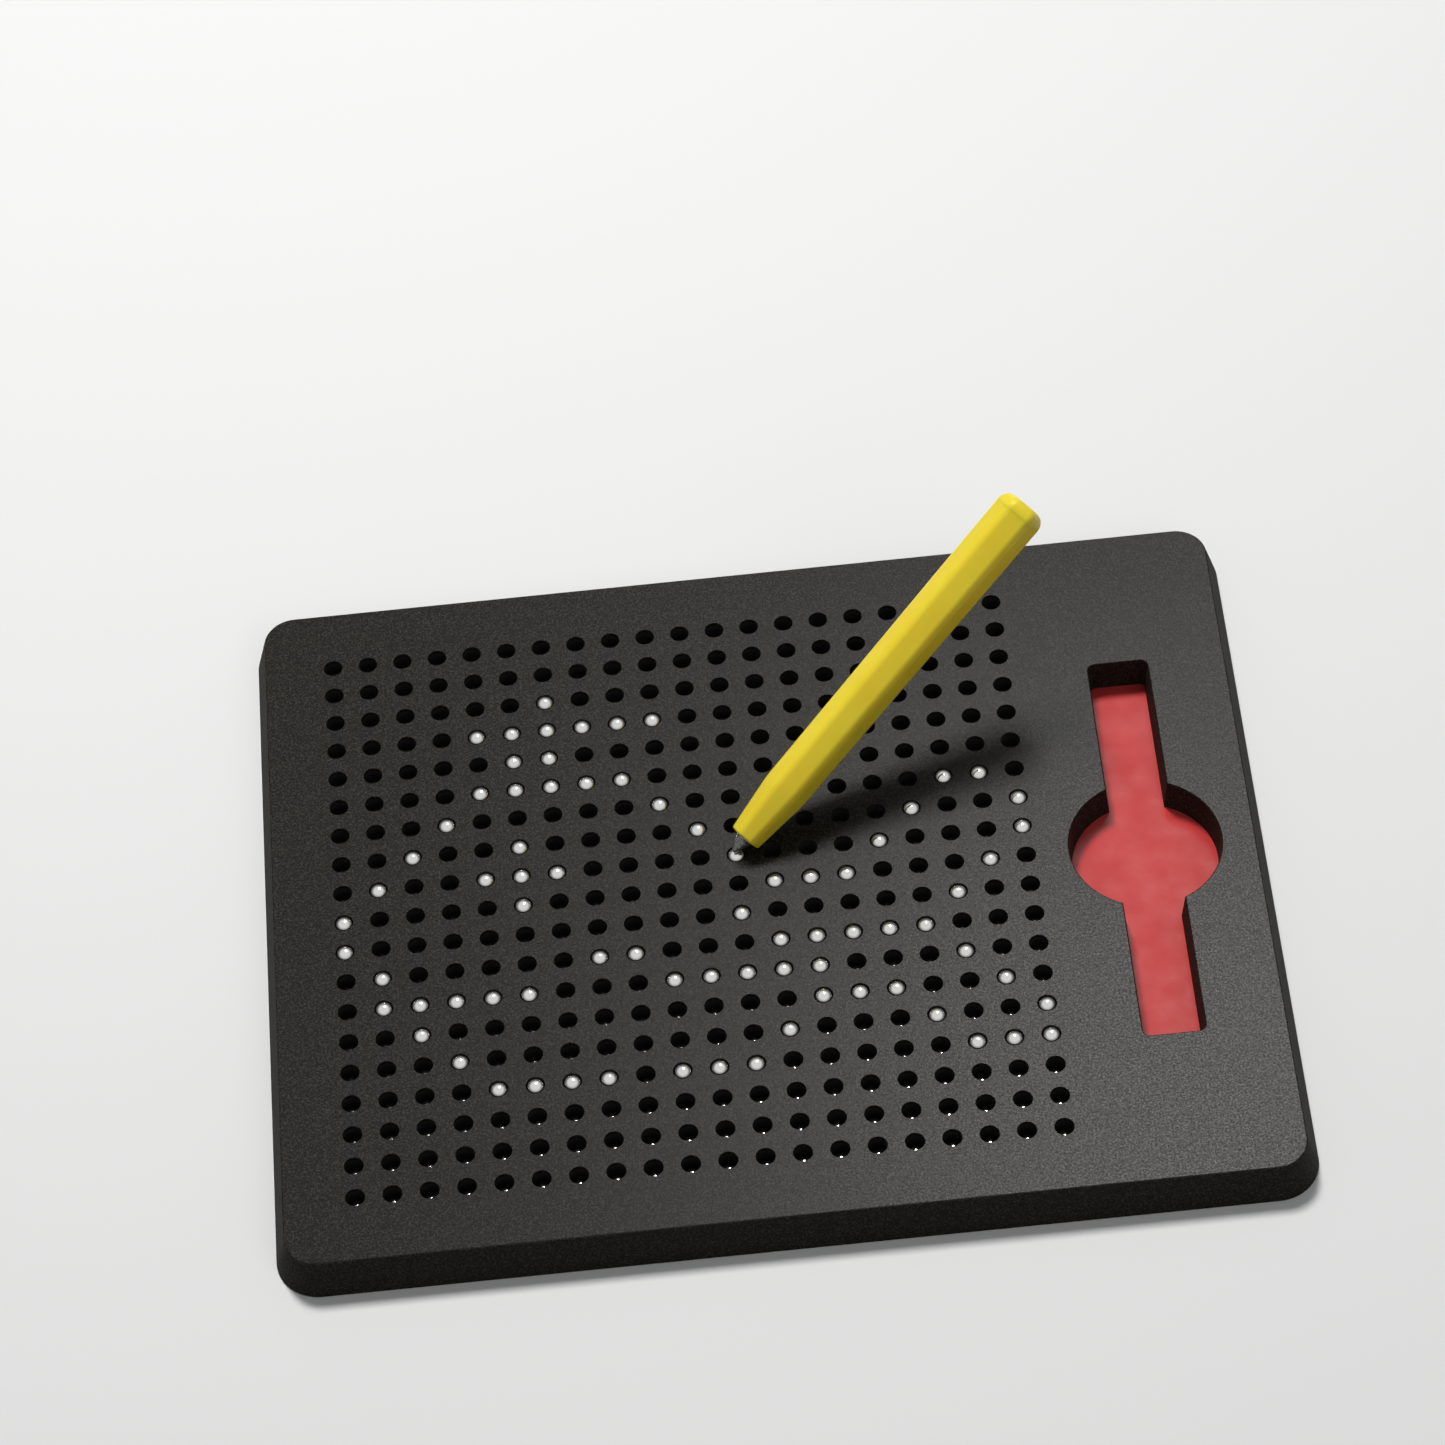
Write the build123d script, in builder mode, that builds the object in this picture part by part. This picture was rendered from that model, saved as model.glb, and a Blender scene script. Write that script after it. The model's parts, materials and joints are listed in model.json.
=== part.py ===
from build123d import *

import os
from math import acos, atan, atan2, cos, degrees, hypot, radians, sin, sqrt

# A magnetic drawing pad in millimetres, lying flat with its drawing face up. Steel balls stand in the cells
# of a flat case. A stylus with a magnet in its nose pulls a ball up until it shows in the face, and a finger
# pushes it down again. The origin is the middle of the base, +X runs to the stylus tray and +Y to the back.

# Drawing field. Each row is a line of cells from left to right, "o" raised and "." lowered, the back row first.
drawing = [
    "....................",
    "....................",
    "......o.............",
    "....oooooo..........",
    ".....oo.............",
    "....ooooo...........",
    "...o.....o.......oo.",
    "..o..o....o.....o..o",
    ".o..ooo....o...o...o",
    "o....o......ooo...o.",
    "o..........o.....o..",
    ".o.....oo...ooooo...",
    ".ooooo...ooooo...o..",
    "..o..........ooo..o.",
    "...o........o...o..o",
    "....oooo.ooo.....ooo",
    "....................",
    "....................",
    "....................",
]
cell_pitch = 9.1
left_margin = 20.8  # edge of the base to the first column
front_margin = 20.8  # edge of the base to the first row, and the same at the back

# Balls and the cells that guide them
ball_diameter = 5.0
ball_retention = 0.08  # how far the lip of a cell reaches in over the ball, on each side
cell_clearance = 0.27  # ball to cell wall, on each side
ball_gap = 0.12  # a ball to whatever stops it, at both ends of its travel
lip_thickness = 0.6

# Case
case_height = 10.6
case_corner_radius = 11.0  # at the base
case_flare = 3.0  # how far each side leans out from the face down to the base
case_wall = 2.2
face_thickness = 1.6
face_edge_radius = 0.5
back_thickness = 1.5
back_clearance = 0.25
magnet_thickness = 1.0
backing_thickness = 0.4
plate_border = 4.0  # how far the inner plates reach past the outer cells' centres
locating_rib_thickness = 1.2
locating_rib_depth = 3.0
locating_clearance = 0.2

# Screws that hold the back cover to the case
screw_inset = 11.3  # edge of the base to a screw's axis
screw_columns = 4
screw_rows = 2
screw_diameter = 2.6
screw_length = 7.8
screw_head_diameter = 5.0
screw_recess = 0.05  # the head's face to the back cover's
screw_bore_clearance = 0.05  # thread to boss, on each side
screw_hole_clearance = 0.2  # screw to back cover, on each side
screw_end_clearance = 0.4
boss_wall = 1.65
drive_slot_length = 2.8
drive_slot_width = 0.6
drive_slot_depth = 0.8

# Stylus
stylus_length = 114.6
stylus_across_flats = 12.0  # at the end cap
front_across_flats = 11.0  # where the nose begins, narrower by the mould's draft
stylus_edge_radius = 2.6
nose_across_flats = 7.8
nose_edge_radius = 2.1
nose_length = 15.5
nose_end_across_flats = 6.8  # the nose's rounded end, at its face
nose_end_edge_radius = 1.8
nose_end_length = 0.7
shoulder_across_flats = 10.3  # half way over the end cap's dome
shoulder_edge_radius = 2.3
shoulder_length = 2.2
end_across_flats = 6.4
end_edge_radius = 1.7
end_length = 3.6
tip_length = 4.6  # how much of the steel tip stands out of the nose
tip_end_radius = 0.9
tip_base_diameter = 5.2
tip_shank_diameter = 3.4
tip_shank_length = 6.0
stylus_magnet_diameter = 5.0
stylus_magnet_length = 12.0
stylus_wall = 1.9
stylus_fit = 0.05  # magnet, tip and cap to the barrel, on each side
cap_plug_length = 8.0

# How the stylus leans on the pad: its tip is over one raised ball, the tip's own clearance above it
stylus_column = 12
stylus_row = 11
stylus_lean = 28.0  # degrees above the face
stylus_bearing = 35.8  # degrees from +X towards +Y
stylus_tip_gap = 0.3

# Stylus tray: a slot for the stylus with a round finger well half way along it
tray_side_clearance = 1.8
tray_end_clearance = 0.7
tray_corner_radius = 2.0
tray_draft = 0.8  # how far the walls lean in from the face down to the floor
tray_wall = 1.4
well_radius = 19.3
well_margin = 11.4  # edge of the base to the well
well_gap = 10.8  # the last column to the well

# Worked out from the sizes above
columns = len(drawing[0])
rows = len(drawing)
field_length = (columns - 1) * cell_pitch
field_width = (rows - 1) * cell_pitch
case_length = left_margin + field_length + well_gap + 2 * well_radius + well_margin
case_width = field_width + 2 * front_margin
case_taper = degrees(atan(case_flare / case_height))
field_x = -case_length / 2 + left_margin + field_length / 2
tray_x = case_length / 2 - well_margin - well_radius
tray_length = stylus_length + 2 * tray_end_clearance
tray_width = stylus_across_flats + 2 * tray_side_clearance

face_underside = case_height - face_thickness
magnet_underside = face_underside - magnet_thickness
guide_underside = back_thickness + backing_thickness
guide_thickness = magnet_underside - guide_underside
plate_length = field_length + 2 * plate_border
plate_width = field_width + 2 * plate_border

ball_radius = ball_diameter / 2
lip_radius = ball_radius - ball_retention
cell_radius = ball_radius + cell_clearance
lip_underside = case_height - lip_thickness
lowered_ball_z = guide_underside + ball_gap + ball_radius
raised_ball_z = lip_underside - sqrt((ball_radius + ball_gap) ** 2 - lip_radius**2)
ball_travel = raised_ball_z - lowered_ball_z

screw_bore_radius = screw_diameter / 2 + screw_bore_clearance
boss_radius = screw_bore_radius + boss_wall
screw_tip_z = screw_recess + screw_length
screw_spacing_x = (case_length - 2 * screw_inset) / (screw_columns - 1)
screw_spacing_y = (case_width - 2 * screw_inset) / (screw_rows - 1)

os.makedirs("parts", exist_ok=True)


def save(piece, label):
    """Names a finished piece and writes its STEP file."""
    piece.part.label = label
    export_step(piece.part, f"parts/{label}.step")


def cell_place(column, row):
    """The middle of a cell, with column 0 at the left and row 0 at the front."""
    return (
        field_x - field_length / 2 + column * cell_pitch,
        -field_width / 2 + row * cell_pitch,
    )


def cell_circles(radius, mode=Mode.ADD):
    """Adds or cuts one circle for every cell in the sketch being built."""
    with Locations((field_x, 0)):
        with GridLocations(cell_pitch, cell_pitch, columns, rows):
            Circle(radius, mode=mode)


def tray_outline(inset=0.0):
    """Draws the outline of the stylus tray, drawn in by the inset, in the sketch being built."""
    with Locations((tray_x, 0)):
        RectangleRounded(
            tray_width - 2 * inset,
            tray_length - 2 * inset,
            tray_corner_radius - inset,
        )
        Circle(well_radius - inset)


def screw_places():
    return GridLocations(screw_spacing_x, screw_spacing_y, screw_columns, screw_rows)


# Front cover: face, sides, tray walls, screw bosses and locating rib in one moulding
with BuildPart() as front_cover:
    with BuildSketch():
        RectangleRounded(case_length, case_width, case_corner_radius)
    extrude(amount=case_height, taper=case_taper)
    face_edges = front_cover.faces().sort_by(Axis.Z)[-1].edges()
    fillet(face_edges, face_edge_radius)
    with BuildSketch():
        RectangleRounded(
            case_length - 2 * case_wall,
            case_width - 2 * case_wall,
            case_corner_radius - case_wall,
        )
    extrude(amount=face_underside, taper=case_taper, mode=Mode.SUBTRACT)
    with BuildSketch(Plane.XY.offset(back_thickness)):
        tray_outline()
        offset(amount=tray_wall, kind=Kind.ARC)
        with screw_places():
            Circle(boss_radius)
    extrude(amount=face_underside - back_thickness)
    with BuildSketch(Plane.XY.offset(face_underside)):
        with Locations((field_x, 0)):
            Rectangle(
                plate_length + 2 * (locating_clearance + locating_rib_thickness),
                plate_width + 2 * (locating_clearance + locating_rib_thickness),
            )
            Rectangle(
                plate_length + 2 * locating_clearance,
                plate_width + 2 * locating_clearance,
                mode=Mode.SUBTRACT,
            )
    extrude(amount=-locating_rib_depth)
    with BuildSketch(Plane.XY.offset(back_thickness)):
        with screw_places():
            Circle(screw_bore_radius)
    extrude(amount=screw_tip_z + screw_end_clearance - back_thickness, mode=Mode.SUBTRACT)
    with BuildSketch(Plane.XY.offset(back_thickness)):
        tray_outline(inset=tray_draft)
    with BuildSketch(Plane.XY.offset(case_height)):
        tray_outline()
    loft(ruled=True, mode=Mode.SUBTRACT)
    with BuildSketch(Plane.XY.offset(face_underside)):
        cell_circles(cell_radius)
    extrude(amount=face_thickness - lip_thickness, mode=Mode.SUBTRACT)
    with BuildSketch(Plane.XY.offset(lip_underside)):
        cell_circles(lip_radius)
    extrude(amount=lip_thickness, mode=Mode.SUBTRACT)
save(front_cover, "front_cover")


# Inner plates under the face: the magnetic sheet that holds raised balls, the guide and the backing
with BuildPart() as magnet_sheet:
    with BuildSketch(Plane.XY.offset(magnet_underside)):
        with Locations((field_x, 0)):
            Rectangle(plate_length, plate_width)
        cell_circles(cell_radius, Mode.SUBTRACT)
    extrude(amount=magnet_thickness)
save(magnet_sheet, "magnet_sheet")

with BuildPart() as ball_guide:
    with BuildSketch(Plane.XY.offset(guide_underside)):
        with Locations((field_x, 0)):
            Rectangle(plate_length, plate_width)
        cell_circles(cell_radius, Mode.SUBTRACT)
    extrude(amount=guide_thickness)
save(ball_guide, "ball_guide")

with BuildPart() as backing_sheet:
    with BuildSketch(Plane.XY.offset(back_thickness)):
        with Locations((field_x, 0)):
            Rectangle(plate_length, plate_width)
    extrude(amount=backing_thickness)
save(backing_sheet, "backing_sheet")


# Back cover: it closes the case flush with the rim, and its inside is the floor of the tray
back_inset = case_wall + back_clearance
screw_hole_radius = screw_diameter / 2 + screw_hole_clearance
countersink_radius = screw_head_diameter / 2 + screw_hole_clearance
with BuildPart() as back_cover:
    with BuildSketch():
        RectangleRounded(
            case_length - 2 * back_inset,
            case_width - 2 * back_inset,
            case_corner_radius - back_inset,
        )
    extrude(amount=back_thickness, taper=case_taper)
    with BuildSketch():
        with screw_places():
            Circle(screw_hole_radius)
    extrude(amount=back_thickness, mode=Mode.SUBTRACT)
    with BuildSketch():
        with screw_places():
            Circle(countersink_radius)
    extrude(amount=countersink_radius - screw_hole_radius, taper=45, mode=Mode.SUBTRACT)
save(back_cover, "back_cover")


# One flat-head screw with a cross recess, standing head down, then its copies
screw_head_radius = screw_head_diameter / 2
screw_radius = screw_diameter / 2
with BuildPart() as screw:
    with BuildSketch(Plane.XZ):
        with BuildLine():
            Polyline(
                (0, screw_recess),
                (screw_head_radius, screw_recess),
                (screw_radius, screw_recess + screw_head_radius - screw_radius),
                (screw_radius, screw_tip_z - screw_radius / 2),
                (screw_radius / 2, screw_tip_z),
                (0, screw_tip_z),
                close=True,
            )
        make_face()
    revolve(axis=Axis.Z)
    with BuildSketch(Plane.XY.offset(screw_recess)):
        Rectangle(drive_slot_length, drive_slot_width)
        Rectangle(drive_slot_width, drive_slot_length)
    extrude(amount=drive_slot_depth, mode=Mode.SUBTRACT)

with BuildPart() as back_screws:
    with screw_places():
        add(screw.part)
save(back_screws, "back_screws")


# Balls, row by row, as the drawing leaves them
for row in range(rows):
    cells = drawing[rows - 1 - row]
    for state, mark, height in (
        ("raised", "o", raised_ball_z),
        ("lowered", ".", lowered_ball_z),
    ):
        places = [
            (*cell_place(column, row), height)
            for column in range(columns)
            if cells[column] == mark
        ]
        if places:
            with BuildPart() as row_of_balls:
                with Locations(*places):
                    Sphere(ball_radius)
            save(row_of_balls, f"{state}_balls_row_{row + 1:02d}")


# Stylus, built along its own axis from the end of its tip, leaning as it is held to draw
lean = radians(stylus_lean)
bearing = radians(stylus_bearing)
stylus_direction = (
    cos(lean) * cos(bearing),
    cos(lean) * sin(bearing),
    sin(lean),
)
stylus_upward = (
    -sin(lean) * cos(bearing),
    -sin(lean) * sin(bearing),
    cos(lean),
)
ball_top = raised_ball_z + ball_radius
tip_centre = Vector(
    *cell_place(stylus_column - 1, stylus_row - 1),
    ball_top + stylus_tip_gap + tip_end_radius,
)
tip_end = tip_centre - Vector(*stylus_direction) * tip_end_radius
stylus_plane = Plane(origin=tip_end, x_dir=stylus_upward, z_dir=stylus_direction)

nose_start = tip_length
nose_end = nose_start + nose_length
cap_start = stylus_length - end_length
magnet_start = tip_length + tip_shank_length
magnet_end = magnet_start + stylus_magnet_length
bore_radius = front_across_flats / 2 - stylus_wall


def hexagon(across_flats, edge_radius):
    """Draws the stylus's rounded hexagon, one ridge upward, in the sketch being built."""
    outline = RegularPolygon(across_flats / 2, 6, major_radius=False)
    fillet(outline.vertices(), edge_radius)


with BuildPart() as stylus_barrel:
    with BuildSketch(stylus_plane.offset(nose_start)):
        hexagon(nose_end_across_flats, nose_end_edge_radius)
    with BuildSketch(stylus_plane.offset(nose_start + nose_end_length)):
        hexagon(nose_across_flats, nose_edge_radius)
    with BuildSketch(stylus_plane.offset(nose_end)):
        hexagon(front_across_flats, stylus_edge_radius)
    with BuildSketch(stylus_plane.offset(cap_start)):
        hexagon(stylus_across_flats, stylus_edge_radius)
    loft(ruled=True)
    with BuildSketch(stylus_plane.offset(nose_start)):
        Circle(tip_shank_diameter / 2 + stylus_fit)
    extrude(amount=tip_shank_length, mode=Mode.SUBTRACT)
    with BuildSketch(stylus_plane.offset(magnet_start)):
        Circle(stylus_magnet_diameter / 2 + stylus_fit)
    extrude(amount=stylus_magnet_length, mode=Mode.SUBTRACT)
    with BuildSketch(stylus_plane.offset(magnet_end)):
        Circle(bore_radius)
    extrude(amount=cap_start - magnet_end, mode=Mode.SUBTRACT)
save(stylus_barrel, "stylus_barrel")

with BuildPart() as stylus_end_cap:
    with BuildSketch(stylus_plane.offset(cap_start)):
        hexagon(stylus_across_flats, stylus_edge_radius)
    with BuildSketch(stylus_plane.offset(cap_start + shoulder_length)):
        hexagon(shoulder_across_flats, shoulder_edge_radius)
    with BuildSketch(stylus_plane.offset(stylus_length)):
        hexagon(end_across_flats, end_edge_radius)
    loft(ruled=True)
    with BuildSketch(stylus_plane.offset(cap_start - cap_plug_length)):
        Circle(bore_radius - stylus_fit)
    extrude(amount=cap_plug_length)
save(stylus_end_cap, "stylus_end_cap")

# The tip is a cone that ends in a small ball, with a shank pressed into the nose
tip_base_radius = tip_base_diameter / 2
cone_distance = tip_length - tip_end_radius
turn_to_base = atan2(tip_base_radius, cone_distance)
turn_to_cone = acos(tip_end_radius / hypot(tip_base_radius, cone_distance))
with BuildPart() as stylus_tip:
    with BuildSketch(Plane(origin=tip_end, x_dir=stylus_upward, z_dir=-stylus_plane.y_dir)):
        with BuildLine():
            dome = JernArc(
                start=(0, 0),
                tangent=(1, 0),
                radius=tip_end_radius,
                arc_size=180 - degrees(turn_to_base + turn_to_cone),
            )
            Polyline(
                dome @ 1,
                (tip_base_radius, tip_length),
                (tip_shank_diameter / 2, tip_length),
                (tip_shank_diameter / 2, magnet_start),
                (0, magnet_start),
                (0, 0),
            )
        make_face()
    revolve(axis=Axis(tip_end, stylus_direction))
save(stylus_tip, "stylus_tip")

with BuildPart() as stylus_magnet:
    with BuildSketch(stylus_plane.offset(magnet_start)):
        Circle(stylus_magnet_diameter / 2)
    extrude(amount=stylus_magnet_length)
save(stylus_magnet, "stylus_magnet")
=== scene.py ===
import json
from math import acos, atan2, cos, hypot, pi, radians, sin, tan

import bpy
import bmesh
from mathutils import Matrix, Vector
from mathutils.geometry import delaunay_2d_cdt

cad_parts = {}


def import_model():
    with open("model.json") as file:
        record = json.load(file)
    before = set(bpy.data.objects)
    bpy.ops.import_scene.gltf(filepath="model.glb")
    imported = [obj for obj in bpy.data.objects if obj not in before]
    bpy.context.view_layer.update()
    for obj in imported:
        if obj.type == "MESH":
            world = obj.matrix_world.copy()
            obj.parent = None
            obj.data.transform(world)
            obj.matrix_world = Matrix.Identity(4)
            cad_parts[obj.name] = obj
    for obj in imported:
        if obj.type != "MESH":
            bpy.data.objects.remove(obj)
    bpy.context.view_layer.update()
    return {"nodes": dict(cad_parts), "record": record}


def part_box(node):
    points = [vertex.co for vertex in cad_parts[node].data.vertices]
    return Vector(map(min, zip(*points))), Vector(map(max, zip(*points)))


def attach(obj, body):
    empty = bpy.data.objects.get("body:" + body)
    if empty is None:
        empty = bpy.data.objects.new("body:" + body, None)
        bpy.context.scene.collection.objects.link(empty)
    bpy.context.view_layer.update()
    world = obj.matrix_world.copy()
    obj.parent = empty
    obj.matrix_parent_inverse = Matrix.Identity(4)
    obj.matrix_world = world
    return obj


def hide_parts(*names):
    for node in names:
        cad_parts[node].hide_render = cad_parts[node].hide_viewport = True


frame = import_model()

# A magnetic drawing pad with steel balls in its cells, and its stylus. Lengths are in metres.

MM = 0.001
SCENE = bpy.context.scene
RECORD = frame["record"]
BODY_OF = {node: body for body, nodes in RECORD["behaviour"]["bodies"].items() for node in nodes}
SLOT_OF = {row["node"]: row["material_slot"] for row in RECORD["subparts"]}
BALL_NODES = sorted(node for node in frame["nodes"] if "_balls_row_" in node)


# Sizes ----------------------------------------------------------------------------------------------

case_low, case_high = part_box("front_cover")
first_row_low, first_row_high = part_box("lowered_balls_row_01")
last_row_low, last_row_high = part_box("lowered_balls_row_19")

COLUMNS = 20
ROWS = 19
BALL_RADIUS = (first_row_high.z - first_row_low.z) / 2
FIRST_CELL = Vector((first_row_low.x + BALL_RADIUS, (first_row_low.y + first_row_high.y) / 2))
LAST_CELL = Vector((last_row_high.x - BALL_RADIUS, (last_row_low.y + last_row_high.y) / 2))
CELL_PITCH = (LAST_CELL.x - FIRST_CELL.x) / (COLUMNS - 1)

CASE_LENGTH = case_high.x - case_low.x
CASE_WIDTH = case_high.y - case_low.y
CASE_CORNER = 11.0 * MM
CASE_FLARE = 3.0 * MM
CASE_WALL = 2.2 * MM
FACE_Z = case_high.z
FACE_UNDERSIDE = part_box("magnet_sheet")[1].z
FACE_EDGE = 0.5 * MM
RIM_ROUNDING = 0.3 * MM
SIDE_SLOPE = CASE_FLARE / FACE_Z

LIP_RADIUS = BALL_RADIUS - 0.08 * MM
LIP_UNDERSIDE = FACE_Z - 0.6 * MM
LIP_ROUNDING = 0.1 * MM
CELL_RADIUS = BALL_RADIUS + 0.27 * MM

WELL_RADIUS = 19.3 * MM
WELL_MARGIN = 11.4 * MM
TRAY_X = case_high.x - WELL_MARGIN - WELL_RADIUS
TRAY_HALF_WIDTH = 7.8 * MM
TRAY_HALF_LENGTH = 58.0 * MM
TRAY_CORNER = 2.0 * MM
TRAY_DRAFT = 0.8 * MM
TRAY_WALL = 1.4 * MM
TRAY_ROUNDING = 0.3 * MM
TRAY_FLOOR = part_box("back_cover")[1].z

BACK_INSET = CASE_WALL + 0.25 * MM
BACK_ROUNDING = 0.2 * MM
SCREW_COLUMNS = 4
SCREW_ROWS = 2
SCREW_INSET = 11.3 * MM
SCREW_HOLE = 1.5 * MM
COUNTERSINK = 2.7 * MM

STYLUS_LENGTH = 114.6 * MM
STYLUS_FLATS = 12.0 * MM
FRONT_FLATS = 11.0 * MM
STYLUS_EDGE = 2.6 * MM
NOSE_FLATS = 7.8 * MM
NOSE_EDGE = 2.1 * MM
NOSE_LENGTH = 15.5 * MM
NOSE_ROUNDING = 0.6 * MM
NOSE_BEND = 2.5 * MM  # half the length over which the nose bends into the body
CAP_SEAM = 0.05 * MM
END_FLATS = 6.4 * MM
END_EDGE = 1.7 * MM
END_LENGTH = 3.6 * MM
TIP_LENGTH = 4.6 * MM
TIP_END_RADIUS = 0.9 * MM
TIP_BASE_RADIUS = 2.6 * MM
TIP_CHAMFER = 0.15 * MM  # along the tip, where its cone meets the nose
TIP_GAP = 0.3 * MM
STYLUS_LEAN = radians(28.0)
STYLUS_BEARING = radians(35.8)
STYLUS_CELL = (11, 10)  # column and row of the ball under the tip, counted from 0

CAMERA_PLACE = Vector((-2.63 * MM, -770.8 * MM, FACE_Z + 1071.4 * MM))
CAMERA_TURN = radians(0.268)
CAMERA_TILT = radians(37.5)
CAMERA_ROLL = radians(-5.951)
CAMERA_LENS = 130.45
CAMERA_SENSOR = 36.0


def cell_place(column, row):
    """The middle of a cell, with column 0 at the left and row 0 at the front."""
    return FIRST_CELL + Vector((column, row)) * CELL_PITCH


# Materials ------------------------------------------------------------------------------------------


def surface(name, colour, roughness, **sockets):
    """A material whose Principled shader has these constant values."""
    material = bpy.data.materials.new(name)
    material.use_nodes = True
    shader = material.node_tree.nodes["Principled BSDF"]
    shader.inputs["Base Color"].default_value = (*colour, 1)
    shader.inputs["Roughness"].default_value = roughness
    for socket, value in sockets.items():
        shader.inputs[socket.replace("_", " ")].default_value = value
    return material


def grain(material, per_metre, detail):
    """A noise over the object's own coordinates, as an output between 0 and 1."""
    tree = material.node_tree
    place = tree.nodes.new("ShaderNodeTexCoord")
    noise = tree.nodes.new("ShaderNodeTexNoise")
    noise.inputs["Scale"].default_value = per_metre
    noise.inputs["Detail"].default_value = detail
    tree.links.new(place.outputs["Object"], noise.inputs["Vector"])
    return noise.outputs["Fac"]


def ramp(material, factor, stops):
    """A colour ramp over a factor. Each stop is a position and a colour or a grey."""
    node = material.node_tree.nodes.new("ShaderNodeValToRGB")
    material.node_tree.links.new(factor, node.inputs["Fac"])
    elements = node.color_ramp.elements
    while len(elements) < len(stops):
        elements.new(0.5)
    for element, (position, colour) in zip(elements, stops):
        element.position = position
        element.color = (*colour, 1) if isinstance(colour, tuple) else (colour, colour, colour, 1)
    return node.outputs["Color"]


def into(material, output, socket):
    """Joins an output to the Principled shader."""
    shader = material.node_tree.nodes["Principled BSDF"]
    material.node_tree.links.new(output, shader.inputs[socket])


def bump(material, height, strength, distance):
    """Adds bump from a height, where a distance is the depth of the whole height."""
    node = material.node_tree.nodes.new("ShaderNodeBump")
    node.inputs["Strength"].default_value = strength
    node.inputs["Distance"].default_value = distance
    material.node_tree.links.new(height, node.inputs["Height"])
    into(material, node.outputs["Normal"], "Normal")


def face_plastic():
    """Dark moulded plastic with a fine eroded texture and pale specks. Its sides are duller than its face."""
    made = surface("dark_textured_plastic", (0.013, 0.011, 0.007), 0.32, Specular_IOR_Level=0.14)
    pit, skin, speck = (0.0042, 0.0036, 0.0024), (0.0105, 0.009, 0.006), (0.042, 0.038, 0.032)
    colour = ramp(made, grain(made, 2100, 5.0), [(0.36, pit), (0.5, skin), (0.64, speck)])
    into(made, colour, "Base Color")
    shine = ramp(made, grain(made, 1900, 3.0), [(0.35, 0.25), (0.65, 0.39)])
    tree = made.node_tree
    direction = tree.nodes.new("ShaderNodeTexCoord")
    axes = tree.nodes.new("ShaderNodeSeparateXYZ")
    dullness = tree.nodes.new("ShaderNodeMapRange")
    dullness.inputs["From Min"].default_value = 0.3
    dullness.inputs["From Max"].default_value = 0.95
    dullness.inputs["To Min"].default_value = 0.75
    dullness.inputs["To Max"].default_value = 0.0
    duller = tree.nodes.new("ShaderNodeMath")
    duller.operation = "MAXIMUM"
    tree.links.new(direction.outputs["Normal"], axes.inputs["Vector"])
    tree.links.new(axes.outputs["Z"], dullness.inputs["Value"])
    tree.links.new(shine, duller.inputs[0])
    tree.links.new(dullness.outputs["Result"], duller.inputs[1])
    into(made, duller.outputs[0], "Roughness")
    bump(made, grain(made, 2200, 3.0), 0.35, 0.04 * MM)
    return made


def back_plastic():
    """Red plastic with a satin moulded skin."""
    made = surface("red_satin_plastic", (0.6, 0.06, 0.05), 0.5, Specular_IOR_Level=0.3)
    colour = ramp(made, grain(made, 60, 3.0), [(0.3, (0.56, 0.043, 0.04)), (0.7, (0.63, 0.055, 0.052))])
    into(made, colour, "Base Color")
    into(made, ramp(made, grain(made, 150, 3.0), [(0.3, 0.44), (0.7, 0.56)]), "Roughness")
    bump(made, grain(made, 1800, 2.0), 0.15, 0.03 * MM)
    return made


def stylus_plastic():
    """Yellow satin plastic that lets a little light through."""
    made = surface("yellow_satin_plastic", (0.98, 0.74, 0.035), 0.42, Specular_IOR_Level=0.4,
                   Subsurface_Weight=0.4, Subsurface_Scale=3 * MM, Subsurface_Radius=(1.0, 0.5, 0.15))
    colour = ramp(made, grain(made, 90, 3.0), [(0.3, (0.96, 0.71, 0.03)), (0.7, (1.0, 0.77, 0.04))])
    into(made, colour, "Base Color")
    into(made, ramp(made, grain(made, 260, 4.0), [(0.3, 0.3), (0.7, 0.44)]), "Roughness")
    bump(made, grain(made, 2600, 2.0), 0.12, 0.02 * MM)
    return made


def ball_steel():
    """Polished steel with faint tumbling marks."""
    made = surface("polished_ball_steel", (0.78, 0.78, 0.76), 0.14, Metallic=1.0)
    into(made, ramp(made, grain(made, 900, 3.0), [(0.3, 0.1), (0.7, 0.2)]), "Roughness")
    bump(made, grain(made, 2400, 2.0), 0.05, 0.01 * MM)
    return made


def tip_steel():
    """Turned steel, with a fine grain in its roughness and surface."""
    made = surface("turned_tip_steel", (0.62, 0.61, 0.58), 0.24, Metallic=1.0)
    into(made, ramp(made, grain(made, 1400, 3.0), [(0.3, 0.18), (0.7, 0.32)]), "Roughness")
    bump(made, grain(made, 3200, 2.0), 0.06, 0.01 * MM)
    return made


def screw_steel():
    """Zinc-plated steel."""
    made = surface("plated_screw_steel", (0.5, 0.5, 0.49), 0.34, Metallic=1.0)
    into(made, ramp(made, grain(made, 1200, 3.0), [(0.3, 0.26), (0.7, 0.44)]), "Roughness")
    bump(made, grain(made, 2600, 2.0), 0.1, 0.01 * MM)
    return made


def magnet_metal():
    """Nickel-plated magnet."""
    made = surface("plated_magnet", (0.56, 0.54, 0.5), 0.22, Metallic=1.0)
    into(made, ramp(made, grain(made, 1000, 3.0), [(0.3, 0.16), (0.7, 0.3)]), "Roughness")
    return made


def dull_black(name, grey, roughness, per_metre, depth):
    """Black rubber, foam or moulded plastic, with a grain of its own."""
    made = surface(name, (grey, grey, grey), roughness, Specular_IOR_Level=0.25)
    into(made, ramp(made, grain(made, per_metre, 3.0), [(0.3, grey * 0.7), (0.7, grey * 1.4)]), "Base Color")
    bump(made, grain(made, per_metre * 1.5, 3.0), 0.4, depth)
    return made


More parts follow.
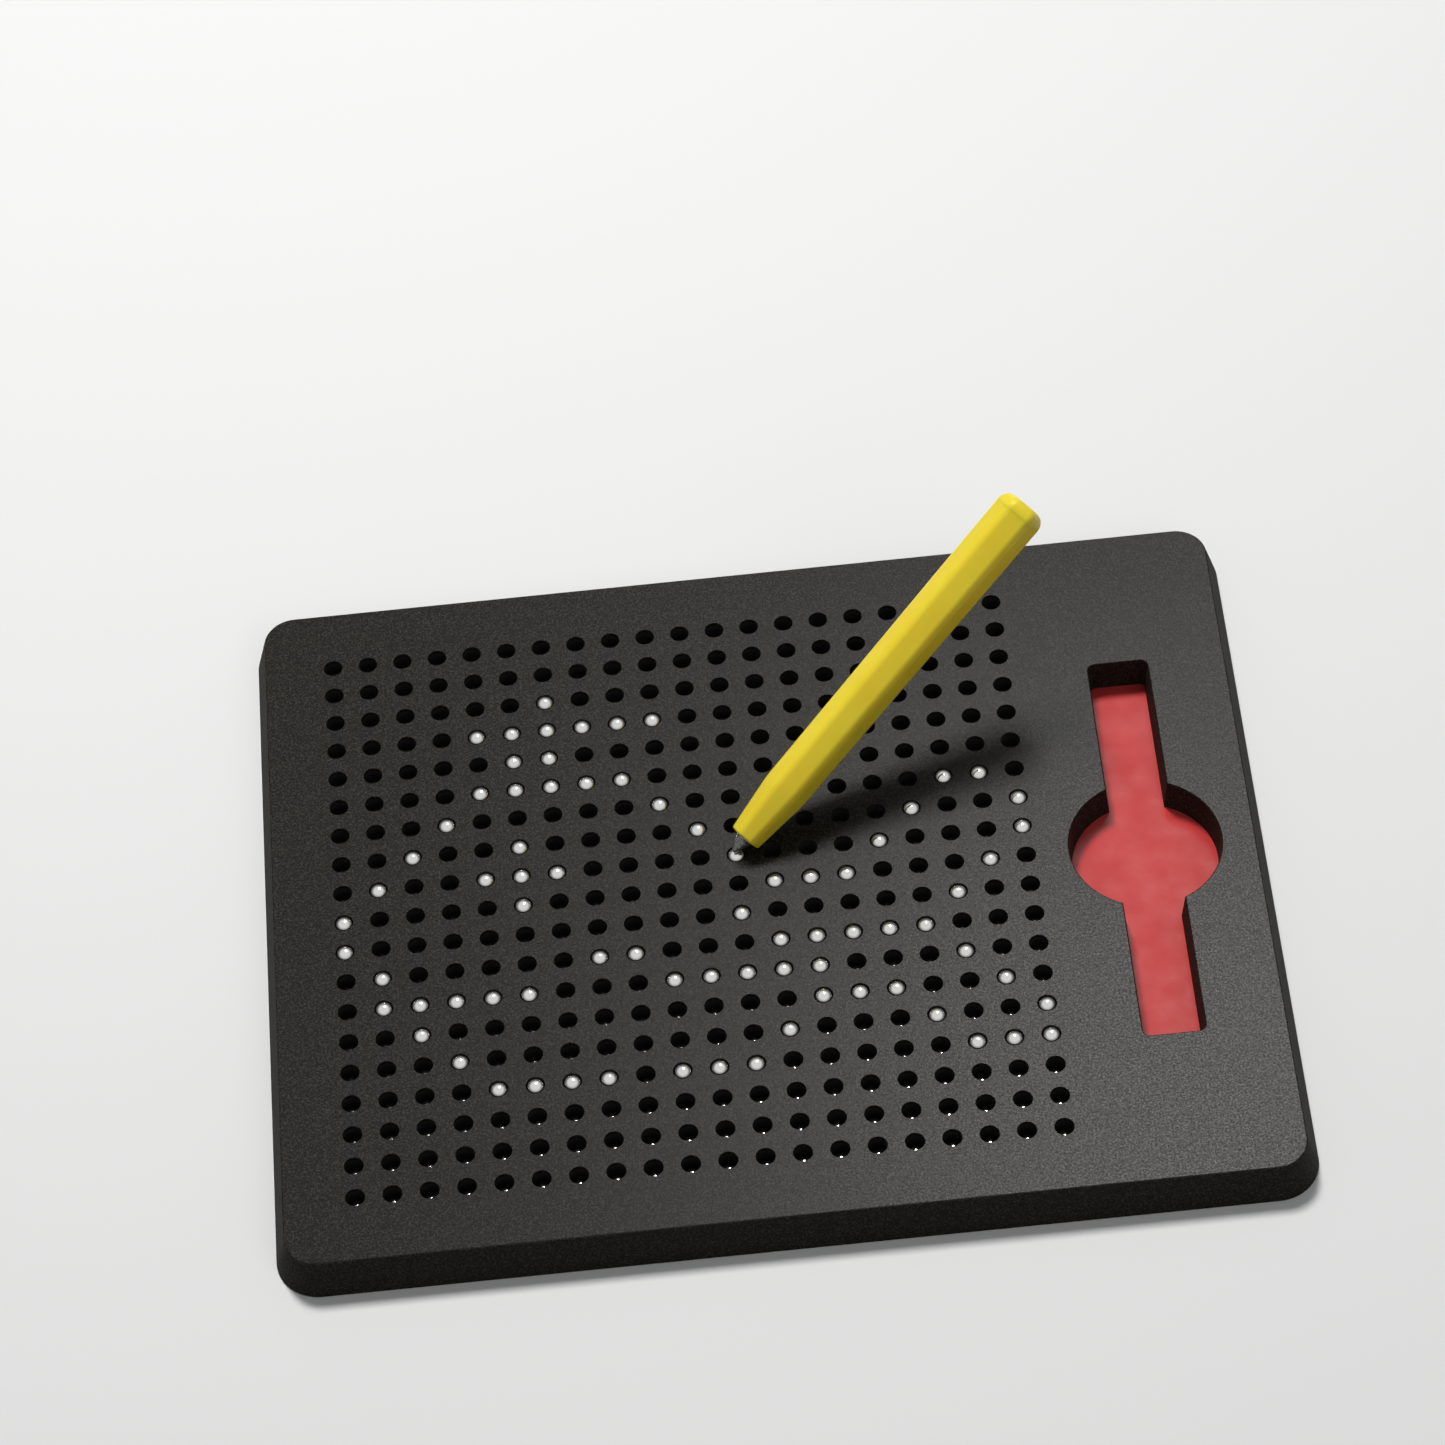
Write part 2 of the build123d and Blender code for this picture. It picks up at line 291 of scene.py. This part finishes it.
MATERIALS = {
    "face_plastic": face_plastic(),
    "back_plastic": back_plastic(),
    "stylus_plastic": stylus_plastic(),
    "ball_steel": ball_steel(),
    "tip_steel": tip_steel(),
    "screw_steel": screw_steel(),
    "magnet_metal": magnet_metal(),
    "magnet_rubber": dull_black("black_flexible_magnet", 0.02, 0.7, 1200, 0.03 * MM),
    "guide_plastic": dull_black("black_moulded_guide", 0.012, 0.6, 900, 0.02 * MM),
    "backing_foam": dull_black("black_foam_sheet", 0.015, 0.9, 2500, 0.15 * MM),
}


# Mesh building --------------------------------------------------------------------------------------


class Shell:
    """The points and faces of one closed piece, built from loops of points."""

    def __init__(self):
        self.points = []
        self.faces = []

    def loop(self, points):
        """Adds a closed line of 3-D points and returns their numbers."""
        start = len(self.points)
        self.points.extend(Vector(p) for p in points)
        return list(range(start, len(self.points)))

    def wall(self, first, second):
        """Joins two loops of as many points with quads."""
        for k in range(len(first)):
            after = (k + 1) % len(first)
            self.faces.append((first[k], first[after], second[after], second[k]))

    def walls(self, loops):
        """Joins each loop to the next, and returns the first and the last."""
        for first, second in zip(loops, loops[1:]):
            self.wall(first, second)
        return loops[0], loops[-1]

    def cap(self, loop):
        """Closes a loop with one face."""
        self.faces.append(tuple(loop))

    def plate(self, outer, holes):
        """Fills the flat area between an outer loop and its holes with triangles."""
        numbers = list(outer)
        owner = [0] * len(outer)
        for h, hole in enumerate(holes, 1):
            numbers.extend(hole)
            owner.extend([h] * len(hole))
        flat = [self.points[n].to_2d() for n in numbers]
        edges = []
        start = 0
        for ring in [outer, *holes]:
            edges.extend((start + k, start + (k + 1) % len(ring)) for k in range(len(ring)))
            start += len(ring)
        triangles = delaunay_2d_cdt(flat, edges, [], 1, 1e-8)[2]
        outlines = [[self.points[n].to_2d() for n in ring] for ring in holes]
        for triangle in triangles:
            owners = {owner[k] for k in triangle}
            if len(owners) == 1 and 0 not in owners:
                middle = sum((flat[k] for k in triangle), Vector((0, 0))) / 3
                if inside(middle, outlines[owners.pop() - 1]):
                    continue
            self.faces.append(tuple(numbers[k] for k in triangle))


def inside(point, outline):
    """Whether a flat point lies inside a closed outline."""
    found = False
    for a, b in zip(outline, outline[1:] + outline[:1]):
        if (a.y > point.y) != (b.y > point.y):
            if point.x < a.x + (point.y - a.y) / (b.y - a.y) * (b.x - a.x):
                found = not found
    return found


def arc(centre, radius, start, end, steps):
    """Points along an arc, both ends included, with angles in radians."""
    turn = (end - start) / steps
    return [
        (centre[0] + radius * cos(start + k * turn), centre[1] + radius * sin(start + k * turn))
        for k in range(steps + 1)
    ]


def circle(centre, radius, steps):
    """Points round a circle, counterclockwise from +X."""
    return arc(centre, radius, 0, 2 * pi, steps)[:-1]


def rounded_rectangle(half_x, half_y, radius, steps=14):
    """The outline of a rectangle with round corners about the origin, counterclockwise."""
    points = []
    for quarter, (side_x, side_y) in enumerate([(1, 1), (-1, 1), (-1, -1), (1, -1)]):
        corner = (side_x * (half_x - radius), side_y * (half_y - radius))
        points += arc(corner, radius, quarter * pi / 2, (quarter + 1) * pi / 2, steps)
    return points


def at_height(outline, z):
    """A flat outline as 3-D points."""
    return [(x, y, z) for x, y in outline]


def rounding(radius, steps):
    """Points of a rounded edge, each as how far it lies from the two sides that meet there."""
    turns = [pi / 2 * k / steps for k in range(steps + 1)]
    return [(radius * (1 - cos(turn)), radius * (1 - sin(turn))) for turn in turns]


def show(name, shells, node, sharp=radians(40)):
    """Makes a smooth-shaded object of closed shells that stands for a CAD node and rides with it."""
    mesh = bpy.data.meshes.new(name)
    points, faces = [], []
    for shell in shells:
        start = len(points)
        points.extend(shell.points)
        faces.extend(tuple(start + n for n in face) for face in shell.faces)
    mesh.from_pydata(points, [], faces)
    tidy = bmesh.new()
    tidy.from_mesh(mesh)
    bmesh.ops.recalc_face_normals(tidy, faces=tidy.faces)
    tidy.to_mesh(mesh)
    tidy.free()
    mesh.shade_smooth()
    mesh.set_sharp_from_angle(angle=sharp)
    mesh.materials.append(MATERIALS[SLOT_OF[node]])
    piece = bpy.data.objects.new(name, mesh)
    SCENE.collection.objects.link(piece)
    weighted = piece.modifiers.new("weighted_normals", "WEIGHTED_NORMAL")
    weighted.keep_sharp = True
    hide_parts(node)
    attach(piece, BODY_OF[node])


# Case -----------------------------------------------------------------------------------------------


def case_outline(inset):
    """The case's outline at the base, moved in by an inset."""
    return rounded_rectangle(CASE_LENGTH / 2 - inset, CASE_WIDTH / 2 - inset, CASE_CORNER - inset)


def tray_outline(outset):
    """The opening of the stylus tray with its finger well, moved out by an outset."""
    half_x, half_y = TRAY_HALF_WIDTH + outset, TRAY_HALF_LENGTH + outset
    corner, well = TRAY_CORNER + outset, WELL_RADIUS + outset
    spread = acos(half_x / well)
    points = arc((0, 0), well, -spread, spread, 40)
    points += arc((half_x - corner, half_y - corner), corner, 0, pi / 2, 8)
    points += arc((corner - half_x, half_y - corner), corner, pi / 2, pi, 8)
    points += arc((0, 0), well, pi - spread, pi + spread, 40)
    points += arc((corner - half_x, corner - half_y), corner, pi, 1.5 * pi, 8)
    points += arc((half_x - corner, corner - half_y), corner, 1.5 * pi, 2 * pi, 8)
    return [(x + TRAY_X, y) for x, y in points]


def front_cover():
    """The face with its cells and tray, and the sides, as one closed shell."""
    shell = Shell()

    # from the ceiling down the inside, round the rim, up the outside and over the edge of the face
    profile = [(CASE_WALL + SIDE_SLOPE * FACE_UNDERSIDE, FACE_UNDERSIDE)]
    profile += [(CASE_WALL + SIDE_SLOPE * z - off, z) for off, z in reversed(rounding(RIM_ROUNDING, 3))]
    profile += [(off + SIDE_SLOPE * z, z) for z, off in rounding(RIM_ROUNDING, 3)]
    side_angle = atan2(SIDE_SLOPE, 1)
    edge_start = FACE_EDGE * tan((pi / 2 - side_angle) / 2)
    middle = (CASE_FLARE + edge_start, FACE_Z - FACE_EDGE)
    profile += [
        (2 * middle[0] - inset, z)
        for inset, z in arc(middle, FACE_EDGE, side_angle, pi / 2, 5)
    ]
    loops = [shell.loop(at_height(case_outline(inset), z)) for inset, z in profile]
    ceiling_edge, face_edge = shell.walls(loops)

    # down the tray's wall and out under it
    profile = [(down, FACE_Z - off) for off, down in rounding(TRAY_ROUNDING, 4)]
    profile += [(-TRAY_DRAFT, TRAY_FLOOR), (TRAY_WALL, TRAY_FLOOR), (TRAY_WALL, FACE_UNDERSIDE)]
    loops = [shell.loop(at_height(tray_outline(outset), z)) for outset, z in profile]
    tray_mouth, tray_root = shell.walls(loops)

    # down every cell
    profile = [(LIP_RADIUS + down, FACE_Z - off) for off, down in rounding(LIP_ROUNDING, 3)]
    profile += [(LIP_RADIUS, LIP_UNDERSIDE), (CELL_RADIUS, LIP_UNDERSIDE), (CELL_RADIUS, FACE_UNDERSIDE)]
    mouths, roots = [tray_mouth], [tray_root]
    for row in range(ROWS):
        for column in range(COLUMNS):
            place = cell_place(column, row)
            loops = [shell.loop(at_height(circle(place, radius, 24), z)) for radius, z in profile]
            mouth, root = shell.walls(loops)
            mouths.append(mouth)
            roots.append(root)
    shell.plate(face_edge, mouths)
    shell.plate(ceiling_edge, roots)
    show("case_front_cover", [shell], "front_cover")


def back_cover():
    """The flat red back with a countersunk hole for each screw."""
    shell = Shell()
    profile = rounding(BACK_ROUNDING, 3) + [(SIDE_SLOPE * TRAY_FLOOR, TRAY_FLOOR)]
    loops = [shell.loop(at_height(case_outline(BACK_INSET + inset), z)) for inset, z in profile]
    under, over = shell.walls(loops)
    unders, overs = [], []
    profile = [(COUNTERSINK, 0), (SCREW_HOLE, COUNTERSINK - SCREW_HOLE), (SCREW_HOLE, TRAY_FLOOR)]
    for column in range(SCREW_COLUMNS):
        for row in range(SCREW_ROWS):
            place = (
                (case_high.x - SCREW_INSET) * (2 * column / (SCREW_COLUMNS - 1) - 1),
                (case_high.y - SCREW_INSET) * (2 * row / (SCREW_ROWS - 1) - 1),
            )
            loops = [shell.loop(at_height(circle(place, radius, 32), z)) for radius, z in profile]
            low, high = shell.walls(loops)
            unders.append(low)
            overs.append(high)
    shell.plate(under, unders)
    shell.plate(over, overs)
    show("case_back_cover", [shell], "back_cover")


# Balls ----------------------------------------------------------------------------------------------


def columns_of(node):
    """The columns in which a node has balls, read from where its points lie."""
    found = set()
    for point in frame["nodes"][node].data.vertices:
        found.add(round((point.co.x - FIRST_CELL.x) / CELL_PITCH))
    return sorted(found)


def ball_rows():
    """Each row's raised and lowered balls as smooth round balls."""
    ball = bmesh.new()
    bmesh.ops.create_icosphere(ball, subdivisions=4, radius=BALL_RADIUS)
    points = [v.co.copy() for v in ball.verts]
    faces = [tuple(v.index for v in f.verts) for f in ball.faces]
    ball.free()
    for node in BALL_NODES:
        low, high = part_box(node)
        middle = (low + high) / 2
        shells = []
        for column in columns_of(node):
            shell = Shell()
            place = Vector((cell_place(column, 0).x, middle.y, middle.z))
            shell.points = [place + p for p in points]
            shell.faces = faces
            shells.append(shell)
        show("steel_" + node, shells, node, sharp=pi)


# Stylus ---------------------------------------------------------------------------------------------

along = Vector((
    cos(STYLUS_LEAN) * cos(STYLUS_BEARING),
    cos(STYLUS_LEAN) * sin(STYLUS_BEARING),
    sin(STYLUS_LEAN),
))
upward = Vector((
    -sin(STYLUS_LEAN) * cos(STYLUS_BEARING),
    -sin(STYLUS_LEAN) * sin(STYLUS_BEARING),
    cos(STYLUS_LEAN),
))
sideward = along.cross(upward)
ball_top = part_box(f"raised_balls_row_{STYLUS_CELL[1] + 1:02d}")[1].z
tip_centre = cell_place(*STYLUS_CELL).to_3d()
tip_centre.z = ball_top + TIP_GAP + TIP_END_RADIUS
tip_end = tip_centre - along * TIP_END_RADIUS


def across_stylus(outline, distance):
    """Points of an outline across the stylus at a distance from the end of its tip."""
    return [tip_end + along * distance + upward * x + sideward * y for x, y in outline]


def hexagon(across_flats, edge_radius, steps=6):
    """A hexagon with round edges and one ridge upward."""
    points = []
    reach = (across_flats / 2 - edge_radius) / cos(pi / 6)
    for ridge in range(6):
        turn = ridge * pi / 3
        centre = (reach * cos(turn), reach * sin(turn))
        points += arc(centre, edge_radius, turn - pi / 6, turn + pi / 6, steps)
    return points


def hexagonal_piece(name, node, stations):
    """A piece lofted through hexagons, each a distance, a width across flats and an edge radius."""
    shell = Shell()
    loops = [shell.loop(across_stylus(hexagon(flats, edge), distance)) for distance, flats, edge in stations]
    first, last = shell.walls(loops)
    shell.cap(first)
    shell.cap(last)
    show(name, [shell], node)


def stylus():
    """The barrel and its end cap."""
    nose_end = TIP_LENGTH + NOSE_LENGTH
    cap_start = STYLUS_LENGTH - END_LENGTH
    nose_slope = (FRONT_FLATS - NOSE_FLATS) / NOSE_LENGTH
    body_slope = (STYLUS_FLATS - FRONT_FLATS) / (cap_start - nose_end)

    def body(distance):
        """The hexagon at a distance: the nose widens into the body through a soft bend."""
        off = distance - nose_end
        flats = FRONT_FLATS + off * (nose_slope if off < 0 else body_slope)
        if abs(off) < NOSE_BEND:
            flats -= (nose_slope - body_slope) * (NOSE_BEND - abs(off)) ** 2 / (4 * NOSE_BEND)
        share = min(1.0, (distance - TIP_LENGTH) / NOSE_LENGTH)
        return (distance, flats, NOSE_EDGE + (STYLUS_EDGE - NOSE_EDGE) * share)

    # barrel: the rounded end of the nose, the taper, the bend, the body and the seam before the cap
    stations = []
    for off, down in rounding(NOSE_ROUNDING, 5):
        distance, flats, edge = body(TIP_LENGTH + off)
        stations.append((distance, flats - 2 * down, edge - down))
    bend_start, bend_end = nose_end - NOSE_BEND, nose_end + NOSE_BEND
    body_length = cap_start - CAP_SEAM - bend_end
    stations += [body(TIP_LENGTH + (bend_start - TIP_LENGTH) * k / 6) for k in range(1, 7)]
    stations += [body(nose_end + NOSE_BEND * k / 6) for k in range(-5, 7)]
    stations += [body(bend_end + body_length * k / 8) for k in range(1, 9)]
    stations.append((cap_start, STYLUS_FLATS - 2 * CAP_SEAM, STYLUS_EDGE - CAP_SEAM))
    hexagonal_piece("stylus_barrel_body", "stylus_barrel", stations)

    # end cap: the seam, then a dome whose facets fade out towards its flat end
    stations = [
        (cap_start, STYLUS_FLATS - 2 * CAP_SEAM, STYLUS_EDGE - CAP_SEAM),
        (cap_start + CAP_SEAM, STYLUS_FLATS, STYLUS_EDGE),
        (cap_start + 3 * CAP_SEAM, STYLUS_FLATS, STYLUS_EDGE),
    ]
    dome_start = cap_start + 3 * CAP_SEAM
    steps = 12
    for k in range(1, steps + 1):
        turn = k / steps * pi / 2
        share = 1 - cos(turn)
        distance = dome_start + (STYLUS_LENGTH - dome_start) * sin(turn)
        flats = STYLUS_FLATS - (STYLUS_FLATS - END_FLATS) * share
        stations.append((distance, flats, STYLUS_EDGE + (END_EDGE - STYLUS_EDGE) * share))
    hexagonal_piece("stylus_rear_cap", "stylus_end_cap", stations)


def stylus_tip():
    """The steel cone with its small round end."""
    shell = Shell()
    cone_distance = TIP_LENGTH - TIP_END_RADIUS
    turn_to_base = atan2(TIP_BASE_RADIUS, cone_distance)
    turn_to_cone = acos(TIP_END_RADIUS / hypot(TIP_BASE_RADIUS, cone_distance))
    turn = pi - turn_to_base - turn_to_cone
    profile = [
        (TIP_END_RADIUS * sin(turn * k / 8), TIP_END_RADIUS * (1 - cos(turn * k / 8)))
        for k in range(1, 9)
    ]
    start = profile[-1]
    for share in (0.25, 0.5, 0.75, 0.94):
        profile.append((
            start[0] + (TIP_BASE_RADIUS - start[0]) * share,
            start[1] + (TIP_LENGTH - start[1]) * share,
        ))
    profile += [(TIP_BASE_RADIUS - 0.02 * MM, TIP_LENGTH - TIP_CHAMFER), (TIP_BASE_RADIUS, TIP_LENGTH)]
    loops = [shell.loop(across_stylus(circle((0, 0), radius, 48), distance)) for radius, distance in profile]
    first, last = shell.walls(loops)
    shell.cap(first)
    shell.cap(last)
    show("stylus_steel_tip", [shell], "stylus_tip")


front_cover()
back_cover()
ball_rows()
stylus()
stylus_tip()

# The inner plates, the screws and the magnet keep their CAD shapes
for node in ("magnet_sheet", "ball_guide", "backing_sheet", "back_screws", "stylus_magnet"):
    piece = frame["nodes"][node]
    piece.data.materials.clear()
    piece.data.materials.append(MATERIALS[SLOT_OF[node]])


# Floor, light and camera ----------------------------------------------------------------------------


def seen(tree):
    """An output that is 1 for what the camera, a reflection or a clear piece sees, and 0 for soft light."""
    path = tree.nodes.new("ShaderNodeLightPath")
    output = path.outputs["Is Camera Ray"]
    for kind in ("Is Glossy Ray", "Is Transmission Ray"):
        either = tree.nodes.new("ShaderNodeMath")
        either.operation = "MAXIMUM"
        tree.links.new(output, either.inputs[0])
        tree.links.new(path.outputs[kind], either.inputs[1])
        output = either.outputs[0]
    return output


def floor():
    """A pale floor that keeps the shadows, and sends less soft light up than its look would."""
    mesh = bpy.data.meshes.new("floor")
    reach = 6.0
    corners = [(-reach, -reach, 0), (reach, -reach, 0), (reach, reach, 0), (-reach, reach, 0)]
    mesh.from_pydata(corners, [], [(0, 1, 2, 3)])
    made = bpy.data.objects.new("floor", mesh)
    made.location.z = case_low.z - 0.05 * MM
    SCENE.collection.objects.link(made)
    material = surface("pale_floor", (0.8, 0.8, 0.8), 0.9, Specular_IOR_Level=0.0)
    tree = material.node_tree
    mix = tree.nodes.new("ShaderNodeMix")
    mix.data_type = "RGBA"
    mix.inputs["A"].default_value = (0.4, 0.4, 0.4, 1)
    mix.inputs["B"].default_value = (0.88, 0.88, 0.87, 1)
    tree.links.new(seen(tree), mix.inputs["Factor"])
    into(material, mix.outputs["Result"], "Base Color")
    mesh.materials.append(material)


def world():
    """A soft sky for light. The camera sees it white, and reflections see it white with a darker horizon."""
    made = bpy.data.worlds.new("studio")
    SCENE.world = made
    made.use_nodes = True
    tree = made.node_tree
    sky = tree.nodes["Background"]
    sky.inputs["Color"].default_value = (0.96, 0.98, 1.0, 1)
    sky.inputs["Strength"].default_value = 0.16
    white = tree.nodes.new("ShaderNodeBackground")
    direction = tree.nodes.new("ShaderNodeTexCoord")
    axes = tree.nodes.new("ShaderNodeSeparateXYZ")
    shade = tree.nodes.new("ShaderNodeMapRange")
    shade.inputs["From Min"].default_value = sin(radians(12))
    shade.inputs["From Max"].default_value = sin(radians(42))
    shade.inputs["To Min"].default_value = 0.15
    path = tree.nodes.new("ShaderNodeLightPath")
    strength = tree.nodes.new("ShaderNodeMath")
    strength.operation = "MAXIMUM"
    mix = tree.nodes.new("ShaderNodeMixShader")
    tree.links.new(direction.outputs["Generated"], axes.inputs["Vector"])
    tree.links.new(axes.outputs["Z"], shade.inputs["Value"])
    tree.links.new(shade.outputs["Result"], strength.inputs[0])
    tree.links.new(path.outputs["Is Camera Ray"], strength.inputs[1])
    tree.links.new(strength.outputs[0], white.inputs["Strength"])
    tree.links.new(seen(tree), mix.inputs["Fac"])
    tree.links.new(sky.outputs[0], mix.inputs[1])
    tree.links.new(white.outputs[0], mix.inputs[2])
    tree.links.new(mix.outputs[0], tree.nodes["World Output"].inputs["Surface"])


def lamp(name, azimuth, elevation, distance, size, power):
    """A square area lamp that points at the pad. Azimuth 0 is over the front edge and grows towards +X."""
    data = bpy.data.lights.new(name, "AREA")
    data.size = size
    data.energy = power
    made = bpy.data.objects.new(name, data)
    turn, rise = radians(azimuth), radians(elevation)
    direction = Vector((sin(turn) * cos(rise), -cos(turn) * cos(rise), sin(rise)))
    made.location = direction * distance
    made.rotation_mode = "QUATERNION"
    made.rotation_quaternion = direction.to_track_quat("Z", "Y")
    SCENE.collection.objects.link(made)
    return made


def camera():
    """Looks down at the pad from the front, nearly square to it, with the picture turned a little."""
    data = bpy.data.cameras.new("camera")
    data.sensor_width = CAMERA_SENSOR
    data.lens = CAMERA_LENS
    data.clip_start = 0.05
    data.clip_end = 50
    made = bpy.data.objects.new("camera", data)
    turn = Matrix.Rotation(CAMERA_TURN, 4, "Z")
    tilt = Matrix.Rotation(CAMERA_TILT, 4, "X")
    roll = Matrix.Rotation(CAMERA_ROLL, 4, "Z")
    made.matrix_world = Matrix.Translation(CAMERA_PLACE) @ turn @ tilt @ roll
    SCENE.collection.objects.link(made)
    SCENE.camera = made


floor()
world()
key = lamp("key", 193.6, 62, 1.6, 0.3, 20)
key.visible_glossy = False
sheen = lamp("sheen", 163, 59.4, 1.8, 0.4, 12)
sheen.visible_diffuse = False
fill = lamp("front_fill", 30, 45, 2.2, 1.2, 5)
fill.visible_glossy = False
camera()
SCENE.view_settings.view_transform = "Standard"
